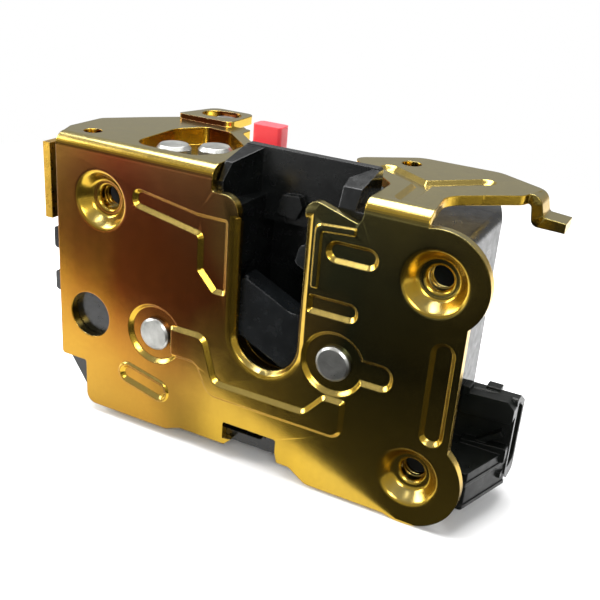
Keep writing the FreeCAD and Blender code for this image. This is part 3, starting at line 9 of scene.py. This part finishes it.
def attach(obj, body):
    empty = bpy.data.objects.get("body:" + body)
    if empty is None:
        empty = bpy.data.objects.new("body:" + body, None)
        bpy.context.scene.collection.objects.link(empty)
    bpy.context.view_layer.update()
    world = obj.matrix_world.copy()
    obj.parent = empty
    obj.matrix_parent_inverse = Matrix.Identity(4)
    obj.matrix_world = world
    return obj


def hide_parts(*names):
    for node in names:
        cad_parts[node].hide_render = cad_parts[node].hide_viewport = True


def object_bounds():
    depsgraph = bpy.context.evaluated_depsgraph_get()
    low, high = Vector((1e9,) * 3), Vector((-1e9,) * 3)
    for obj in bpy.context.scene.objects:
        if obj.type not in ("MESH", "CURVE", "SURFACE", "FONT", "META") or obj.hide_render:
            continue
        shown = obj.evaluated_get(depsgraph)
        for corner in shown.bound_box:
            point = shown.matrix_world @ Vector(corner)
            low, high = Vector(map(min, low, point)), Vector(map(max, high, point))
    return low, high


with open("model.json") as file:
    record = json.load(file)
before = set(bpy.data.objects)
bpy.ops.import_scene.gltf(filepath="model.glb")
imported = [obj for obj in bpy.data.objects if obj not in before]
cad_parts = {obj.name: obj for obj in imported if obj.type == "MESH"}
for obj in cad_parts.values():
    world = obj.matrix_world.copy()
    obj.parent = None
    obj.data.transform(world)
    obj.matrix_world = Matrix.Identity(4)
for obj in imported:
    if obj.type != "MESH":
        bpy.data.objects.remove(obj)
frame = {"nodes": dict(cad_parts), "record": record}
cad_low, cad_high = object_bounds()

MM = 0.001
NODES = frame["nodes"]
RECORD = frame["record"]
BODY_OF = {node: body for body, nodes in RECORD["behaviour"]["bodies"].items() for node in nodes}

# Rolled edges of the pressed plate
EDGE_ROLL = 0.22 * MM
SHARP_EDGE = math.radians(30.0)
WELD_REACH = 0.002 * MM

# Thread in the screw collars: how far its crest stands in from the bore and its root out of it,
# how far it keeps from the collar's ends, and half its foot's width as a share of the pitch
THREAD_PITCH = 1.0 * MM
THREAD_CREST = 0.18 * MM
THREAD_ROOT = 0.05 * MM
THREAD_INSET = 0.2 * MM
THREAD_FOOT = 0.42
THREAD_STEPS = 36

# Stretches of the plate over which its colour changes, along X and up Z: partly the film's own tone,
# partly painted reflection
PLATE_SPAN = (-56 * MM, 46 * MM)
LOW_BAND = (-26 * MM, 2 * MM)
HIGH_BAND = (4 * MM, 27 * MM)

# Where the photographer stood, how the camera was turned, and its lens in mm
VIEW_PLACE = Vector((0.0778, -0.1471, 0.0820))
VIEW_RIGHT = (0.886, 0.457, 0.074)
VIEW_UP = (-0.243, 0.323, 0.914)
VIEW_BACK = (0.394, -0.829, 0.398)
SENSOR, LENS = 36.0, 52.97

# Edge of the dark card on the floor: a point on it, its lean from the X axis, and its extent
CARD_CORNER = Vector((-0.02, -0.024, cad_low.z + 0.5 * MM))
CARD_LEAN = math.radians(24.0)
CARD_LEFT, CARD_RIGHT, CARD_DEPTH = -0.22, 0.28, 0.40

WHITE, BLACK, PAPER = "#ffffff", "#000000", "#f4f4f4"


# Node helpers

def linear(code):
    """Turns an sRGB hex colour into the linear values that Blender mixes."""
    parts = [int(code[start:start + 2], 16) / 255 for start in (1, 3, 5)]
    values = [part / 12.92 if part <= 0.04045 else ((part + 0.055) / 1.055) ** 2.4 for part in parts]
    return (*values, 1.0)


def add_node(material, kind, links=(), **settings):
    """Adds one shader node; settings name its sockets or its own options."""
    node = material.node_tree.nodes.new("ShaderNode" + kind)
    for name, value in settings.items():
        label = name.replace("_", " ").title()
        if hasattr(node, name):
            setattr(node, name, value)
        else:
            node.inputs[label].default_value = value
    for source, target in links:
        material.node_tree.links.new(source, node.inputs[target])
    return node


def ramp(material, source, stops):
    """A colour ramp with stops of (position, hex colour)."""
    node = add_node(material, "ValToRGB", [(source, "Fac")])
    elements = node.color_ramp.elements
    elements[0].position, elements[0].color = stops[0][0], linear(stops[0][1])
    elements[1].position, elements[1].color = stops[-1][0], linear(stops[-1][1])
    for position, code in stops[1:-1]:
        elements.new(position).color = linear(code)
    return node.outputs["Color"]


def spread(material, source, low, high, to_low=0.0, to_high=1.0):
    """Maps a value from one range to another."""
    node = add_node(material, "MapRange", [(source, "Value")], From_Min=low, From_Max=high,
                    To_Min=to_low, To_Max=to_high)
    return node.outputs["Result"]


def mixed(material, factor, first, second, blend="MIX"):
    """Mixes two colours; each is a hex code or a socket, and so is the factor."""
    node = material.node_tree.nodes.new("ShaderNodeMix")
    node.data_type = "RGBA"
    node.blend_type = blend
    for value, socket in ((factor, node.inputs[0]), (first, node.inputs[6]), (second, node.inputs[7])):
        if isinstance(value, str):
            socket.default_value = linear(value)
        elif isinstance(value, (int, float)):
            socket.default_value = value
        else:
            material.node_tree.links.new(value, socket)
    return node.outputs[2]


def new_material(name):
    """A material and its shader."""
    material = bpy.data.materials.new(name)
    material.use_nodes = True
    return material, material.node_tree.nodes["Principled BSDF"]


def set_shader(shader, **values):
    """Sets sockets of a shader; a plain value goes straight on its socket."""
    for name, value in values.items():
        shader.inputs[name.replace("_", " ").title().replace("Ior", "IOR")].default_value = value


def place(material):
    """Object coordinates, which are the frame's own."""
    return add_node(material, "TexCoord").outputs["Object"]


def noise(material, where, grain, detail=3.0, roughness=0.5):
    """Noise whose features are about grain metres across."""
    node = add_node(material, "TexNoise", [(where, "Vector")], Scale=1.0 / grain, Detail=detail,
                    Roughness=roughness)
    return node.outputs["Fac"]


def rounded_edges(material, shader, radius, height, depth, strength):
    """Softens edges in the shading and lays the fine relief on top of them."""
    edge = add_node(material, "Bevel", samples=6, Radius=radius)
    relief = add_node(material, "Bump", [(height, "Height"), (edge.outputs["Normal"], "Normal")],
                      Strength=strength, Distance=depth)
    material.node_tree.links.new(relief.outputs["Normal"], shader.inputs["Normal"])


# Materials

def chromate_plate():
    """Yellow chromate on zinc plate: the film's own brown-to-olive tone mixed with painted reflection,
    darker high up and yellow low down.
    """
    material, shader = new_material("yellow_chromate_pressing")
    where = place(material)
    axes = add_node(material, "SeparateXYZ", [(where, "Vector")]).outputs
    cloud = noise(material, where, 26 * MM, 2.0, 0.45)
    drift = spread(material, cloud, 0.3, 0.7, -0.10, 0.10)
    along = spread(material, axes["X"], *PLATE_SPAN)
    across = add_node(material, "Math", [(along, 0), (drift, 1)], operation="ADD").outputs[0]
    # Painted reflection: these ramps darken the plate high up and turn it yellow low down, where it
    # mirrors dark room and bright floor
    top = ramp(material, across, [(0.0, "#6a4a1e"), (0.20, "#67321a"), (0.38, "#6a4426"),
                                  (0.58, "#6c5f36"), (0.72, "#4e4e34"), (1.0, "#8c7a3c")])
    middle = ramp(material, across, [(0.0, "#9a6c20"), (0.16, "#7c3e10"), (0.36, "#743c1a"),
                                     (0.52, "#a8843c"), (0.72, "#44452c"), (1.0, "#6c6030")])
    bottom = ramp(material, across, [(0.0, "#aa8432"), (0.22, "#a87f30"), (0.40, "#806424"),
                                     (0.62, "#c8a43a"), (0.80, "#c8a844"), (1.0, "#d0b04c")])
    colour = mixed(material, spread(material, axes["Z"], *LOW_BAND), bottom, middle)
    colour = mixed(material, spread(material, axes["Z"], *HIGH_BAND), colour, top)

    # Painted highlight: bends, cones and edges that turn from the front are painted bright yellow, and
    # what faces up is painted paler, as where the light falls
    facing = add_node(material, "NewGeometry").outputs["True Normal"]
    sides = add_node(material, "SeparateXYZ", [(facing, "Vector")]).outputs
    frontal = add_node(material, "Math", [(sides["Y"], 0)], operation="ABSOLUTE").outputs[0]
    colour = mixed(material, spread(material, frontal, 0.985, 0.86), colour, "#cfa93c")
    colour = mixed(material, spread(material, sides["Z"], 0.45, 0.90), colour, "#b0a36c")

    fleck = noise(material, where, 1.1 * MM, 4.0, 0.7)
    stain = spread(material, fleck, 0.35, 0.75, 0.94, 1.04)
    colour = mixed(material, 1.0, colour, stain, "MULTIPLY")
    material.node_tree.links.new(colour, shader.inputs["Base Color"])
    patch = noise(material, where, 3.2 * MM, 4.0, 0.6)
    rough = spread(material, patch, 0.3, 0.7, 0.19, 0.24)
    material.node_tree.links.new(rough, shader.inputs["Roughness"])
    set_shader(shader, metallic=1.0)
    peel = noise(material, where, 1.6 * MM, 3.0, 0.55)
    rounded_edges(material, shader, 0.35 * MM, peel, 0.02 * MM, 0.35)
    return material


def plated_steel(name, colour, second, rough, grain=1.4 * MM, edge=0.2 * MM):
    """Zinc plated steel: crystalline mottling, blanked edges that catch the light."""
    material, shader = new_material(name)
    where = place(material)
    cloud = spread(material, noise(material, where, grain * 4, 3.0, 0.6), 0.35, 0.68)
    tint = mixed(material, cloud, colour, second)
    material.node_tree.links.new(tint, shader.inputs["Base Color"])
    patch = spread(material, noise(material, where, grain, 4.0, 0.6), 0.3, 0.7,
                   rough - 0.07, rough + 0.09)
    material.node_tree.links.new(patch, shader.inputs["Roughness"])
    set_shader(shader, metallic=1.0)
    rounded_edges(material, shader, edge, noise(material, where, grain * 0.5), 0.015 * MM, 0.3)
    return material


def moulded(name, colour, worn, rough, grain=0.5 * MM, depth=0.02 * MM, edge=0.3 * MM, soft=0.0,
            shine=0.5):
    """Injection moulded plastic: fine eroded grain, faint flow marks, rubbed high spots."""
    material, shader = new_material(name)
    where = place(material)
    flow = spread(material, noise(material, where, 9 * MM, 3.0, 0.55), 0.4, 0.75)
    tint = mixed(material, flow, colour, worn)
    material.node_tree.links.new(tint, shader.inputs["Base Color"])
    patch = spread(material, noise(material, where, 2.5 * MM, 4.0, 0.6), 0.3, 0.7,
                   rough - 0.06, rough + 0.1)
    material.node_tree.links.new(patch, shader.inputs["Roughness"])
    set_shader(shader, metallic=0.0, ior=1.5, specular_ior_level=shine, subsurface_weight=soft)
    if soft:
        shader.inputs["Subsurface Radius"].default_value = (0.9 * MM, 0.5 * MM, 0.4 * MM)
        shader.inputs["Subsurface Scale"].default_value = 1.0
    rounded_edges(material, shader, edge, noise(material, where, grain, 2.0), depth, 0.3)
    return material


PLATE = chromate_plate()
LEVER = plated_steel("yellow_chromate_lever", "#c9a040", "#8f6a22", 0.30)
HIDDEN_PLATE = plated_steel("yellow_chromate_backing", "#b58d36", "#7d6428", 0.32)
RIVET = plated_steel("bright_zinc_rivet", "#c4c4bf", "#9b9b96", 0.34, 1.0 * MM)
CLAW = plated_steel("hardened_claw_steel", "#6c6d6e", "#4a4b4d", 0.36)
CAN = plated_steel("drawn_motor_can", "#b8babc", "#909294", 0.30)
SCREW = plated_steel("dark_zinc_screw", "#8c8f92", "#6c6f72", 0.36, 0.8 * MM)
WIRE = plated_steel("spring_wire", "#8c8e91", "#5f6164", 0.30, 0.6 * MM, 0.1 * MM)
TINNED = plated_steel("tinned_brass_blade", "#c9c4ac", "#b3a878", 0.28, 0.8 * MM, 0.1 * MM)
HOUSING = moulded("black_acetal_housing", "#070808", "#0e100f", 0.22, shine=0.45)
CLAW_SKIN = moulded("black_polyester_claw_skin", "#0a0c0d", "#141719", 0.22, edge=0.5 * MM,
                    shine=0.35)
CASE = moulded("grey_filled_polymer_case", "#161816", "#20241f", 0.30, 0.7 * MM, 0.04 * MM)
COVER = moulded("grey_filled_polymer_cover", "#151715", "#1e221e", 0.32, 0.7 * MM, 0.04 * MM)
PLUG = moulded("black_polyamide_plug", "#0a0c0a", "#11140f", 0.32, shine=0.3)
BUMPER = moulded("moulded_rubber_bumper", "#16110f", "#241c18", 0.62, edge=0.6 * MM)
RED = moulded("red_acetal_lever", "#ff5058", "#f2434c", 0.34, soft=0.25)
ACETAL = moulded("natural_acetal_gear", "#e4e1d6", "#d8d3c3", 0.38, soft=0.2)
MOTOR_CAP = moulded("black_motor_cap", "#1c1d20", "#26272b", 0.42)
SWITCH = moulded("switch_body", "#8c1f18", "#a02a20", 0.44)

FINISHES = {
    "face_plate": PLATE, "back_plate": HIDDEN_PLATE, "claw_rivet": RIVET, "pawl_rivet": RIVET,
    "latch_housing": HOUSING, "striker_bumper": BUMPER, "claw_core": CLAW, "claw_cover": CLAW_SKIN,
    "pawl": CLAW, "release_pin": RIVET, "outer_release_lever": LEVER, "lever_pivot": RIVET,
    "inside_lever_rivet": RIVET, "child_lever_rivet": RIVET, "lock_lever_rivet": RIVET,
    "inside_release_lever": LEVER, "lock_lever": LEVER, "child_lock_lever": RED,
    "actuator_housing": CASE, "actuator_cover": COVER, "cover_screws": SCREW,
    "connector_shroud": PLUG, "connector_pins": TINNED, "drive_wheel": ACETAL,
    "wheel_spindle": RIVET, "lock_rack": ACETAL, "motor_can": CAN, "motor_end_cap": MOTOR_CAP,
    "motor_pinion": TINNED, "motor_shaft": RIVET, "door_ajar_switch": SWITCH,
    "lock_state_switch": SWITCH, "claw_spring": WIRE, "pawl_spring": WIRE,
}
for node, finish in FINISHES.items():
    mesh = NODES[node].data
    mesh.materials.clear()
    mesh.materials.append(finish)


# Rolled edges

def finished_piece(form, name, finish, body):
    """Turns a bmesh into a smooth shaded object that rides on a body."""
    mesh = bpy.data.meshes.new(name)
    form.to_mesh(mesh)
    form.free()
    mesh.shade_smooth()
    mesh.materials.append(finish)
    piece = bpy.data.objects.new(name, mesh)
    bpy.context.scene.collection.objects.link(piece)
    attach(piece, body)
    return piece


def dressed(node, width):
    """A copy of a CAD node with its sharp edges rolled over, which stands for that node."""
    form = bmesh.new()
    form.from_mesh(NODES[node].data)
    bmesh.ops.remove_doubles(form, verts=form.verts, dist=WELD_REACH)
    edges = [edge for edge in form.edges
             if edge.is_manifold and edge.calc_face_angle(0.0) > SHARP_EDGE]
    bmesh.ops.bevel(form, geom=edges, offset=width, offset_type="OFFSET", affect="EDGES",
                    segments=2, profile=0.5, material=-1, clamp_overlap=True)
    piece = finished_piece(form, node + "_dressed", FINISHES[node], BODY_OF[node])
    even = piece.modifiers.new("even_normals", "WEIGHTED_NORMAL")
    even.keep_sharp = True
    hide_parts(node)


dressed("face_plate", EDGE_ROLL)


# Threads of the three screw collars

def thread_ridge(name, centre, start, turns, bore):
    """Helical ridge inside a collar along +Y, which fades out at both ends."""
    root, crest = bore + THREAD_ROOT, bore - THREAD_CREST
    fade_steps = THREAD_STEPS / 4
    form = bmesh.new()
    rings = []
    for step in range(int(turns * THREAD_STEPS) + 1):
        angle = 2 * math.pi * step / THREAD_STEPS
        along = start + THREAD_PITCH * step / THREAD_STEPS
        fade = min(1.0, step / fade_steps, (turns * THREAD_STEPS - step) / fade_steps)
        ridge = root - (root - crest) * max(fade, 0.02)
        profile = ((root, -THREAD_FOOT), (ridge, -0.06), (ridge, 0.06), (root, THREAD_FOOT))
        rings.append([form.verts.new((centre.x + radius * math.cos(angle),
                                      along + share * THREAD_PITCH,
                                      centre.z + radius * math.sin(angle)))
                      for radius, share in profile])
    for first, second in zip(rings, rings[1:]):
        for corner in range(4):
            following = (corner + 1) % 4
            form.faces.new((first[corner], first[following], second[following], second[corner]))
    form.faces.new(rings[0])
    form.faces.new(reversed(rings[-1]))
    bmesh.ops.recalc_face_normals(form, faces=form.faces)
    finished_piece(form, name, PLATE, BODY_OF["face_plate"])


for mount in RECORD["mounts"]:
    if mount["kind"] == "threaded_hole":
        collar = Vector(mount["pos_m"])
        reach = mount["dims"]["length_mm"] * MM
        start = collar.y - reach / 2 + THREAD_INSET + THREAD_FOOT * THREAD_PITCH
        turns = (reach - 2 * THREAD_INSET) / THREAD_PITCH - 2 * THREAD_FOOT
        thread_ridge(mount["name"] + "_thread", collar, start, turns, mount["dims"]["r_mm"] * MM)


# Camera, light and ground

def ground():
    """White paper that goes over into plain white far from the part."""
    bpy.ops.mesh.primitive_plane_add(size=3.0, location=(0.0, 0.0, cad_low.z))
    floor = bpy.context.object
    floor.name = "studio_floor"
    material, shader = new_material("white_paper")
    set_shader(shader, base_color=linear(PAPER), roughness=0.9)
    path = add_node(material, "LightPath")
    white = add_node(material, "Emission", Color=linear(WHITE), Strength=1.0)
    reach = add_node(material, "VectorMath", [(place(material), 0)], operation="LENGTH")
    far = spread(material, reach.outputs["Value"], 0.12, 0.3)
    seen = add_node(material, "Math", [(path.outputs["Is Camera Ray"], 0), (far, 1)],
                    operation="MULTIPLY")
    blend = add_node(material, "MixShader", [(seen.outputs[0], 0), (shader.outputs[0], 1),
                                             (white.outputs[0], 2)])
    output = material.node_tree.nodes["Material Output"]
    material.node_tree.links.new(blend.outputs[0], output.inputs["Surface"])
    floor.data.materials.append(material)


def black_card():
    """A card on the floor that only reflections see: it stands in for the dark room, and its glow,
    stronger to the left, paints a graded reflection on the plate.
    """
    material, shader = new_material("glowing_reflection_card")
    side = add_node(material, "SeparateXYZ", [(place(material), "Vector")]).outputs["X"]
    # Painted reflection: the card glows from 0.42 at low X down to 0.05, so the plate mirrors a grey
    # that darkens to the right
    glow = spread(material, side, -0.14, 0.01, 0.42, 0.05)
    material.node_tree.links.new(glow, shader.inputs["Emission Strength"])
    set_shader(shader, base_color=linear(BLACK), roughness=1.0, specular_ior_level=0.0,
               emission_color=linear(WHITE))
    bpy.ops.mesh.primitive_plane_add(size=1.0, location=(0.0, 0.0, 0.0))
    card = bpy.context.object
    card.name = "studio_reflection_card"
    along = Vector((math.cos(CARD_LEAN), math.sin(CARD_LEAN), 0.0))
    outward = Vector((math.sin(CARD_LEAN), -math.cos(CARD_LEAN), 0.0))
    spots = ((CARD_LEFT, CARD_DEPTH), (CARD_RIGHT, CARD_DEPTH), (CARD_LEFT, 0.0), (CARD_RIGHT, 0.0))
    for vertex, (run, deep) in zip(card.data.vertices, spots):
        vertex.co = CARD_CORNER + along * run + outward * deep
    card.data.materials.append(material)
    card.visible_camera = card.visible_diffuse = card.visible_shadow = False


def surroundings():
    """Soft white light from all round; the camera itself sees plain white."""
    world = bpy.data.worlds.new("studio_world")
    bpy.context.scene.world = world
    world.use_nodes = True
    nodes, join = world.node_tree.nodes, world.node_tree.links.new
    back = nodes["Background"]
    back.inputs["Color"].default_value = linear(WHITE)
    back.inputs["Strength"].default_value = 0.45
    bright = nodes.new("ShaderNodeBackground")
    bright.inputs["Color"].default_value = linear(WHITE)
    rays = nodes.new("ShaderNodeLightPath")
    choice = nodes.new("ShaderNodeMixShader")
    join(rays.outputs["Is Camera Ray"], choice.inputs[0])
    join(back.outputs[0], choice.inputs[1])
    join(bright.outputs[0], choice.inputs[2])
    join(choice.outputs[0], nodes["World Output"].inputs["Surface"])


def softbox(name, spot, wide, high, watts):
    """A rectangular lamp aimed at the latched striker's centre."""
    light = bpy.data.lights.new(name, "AREA")
    light.shape, light.size, light.size_y = "RECTANGLE", wide, high
    light.energy = watts
    holder = bpy.data.objects.new(name, light)
    bpy.context.scene.collection.objects.link(holder)
    holder.location = spot
    holder.rotation_euler = (-Vector(spot)).to_track_quat("-Z", "Y").to_euler()


def photo_view():
    """The camera that stands where the photographer stood."""
    view = bpy.data.cameras.new("photo_view")
    view.sensor_width, view.lens = SENSOR, LENS
    view.clip_start, view.clip_end = 0.01, 10.0
    camera = bpy.data.objects.new("photo_view", view)
    bpy.context.scene.collection.objects.link(camera)
    turn = Matrix((VIEW_RIGHT, VIEW_UP, VIEW_BACK)).transposed().to_4x4()
    camera.matrix_world = Matrix.Translation(VIEW_PLACE) @ turn
    bpy.context.scene.camera = camera
    bpy.context.scene.view_settings.view_transform = "Standard"


ground()
black_card()
surroundings()
softbox("camera_softbox", (0.19, -0.36, 0.24), 0.14, 0.14, 0.9)
softbox("top_softbox", (-0.10, 0.10, 0.60), 0.6, 0.5, 9)
softbox("left_softbox", (-0.55, -0.15, 0.30), 0.3, 0.3, 3)
photo_view()
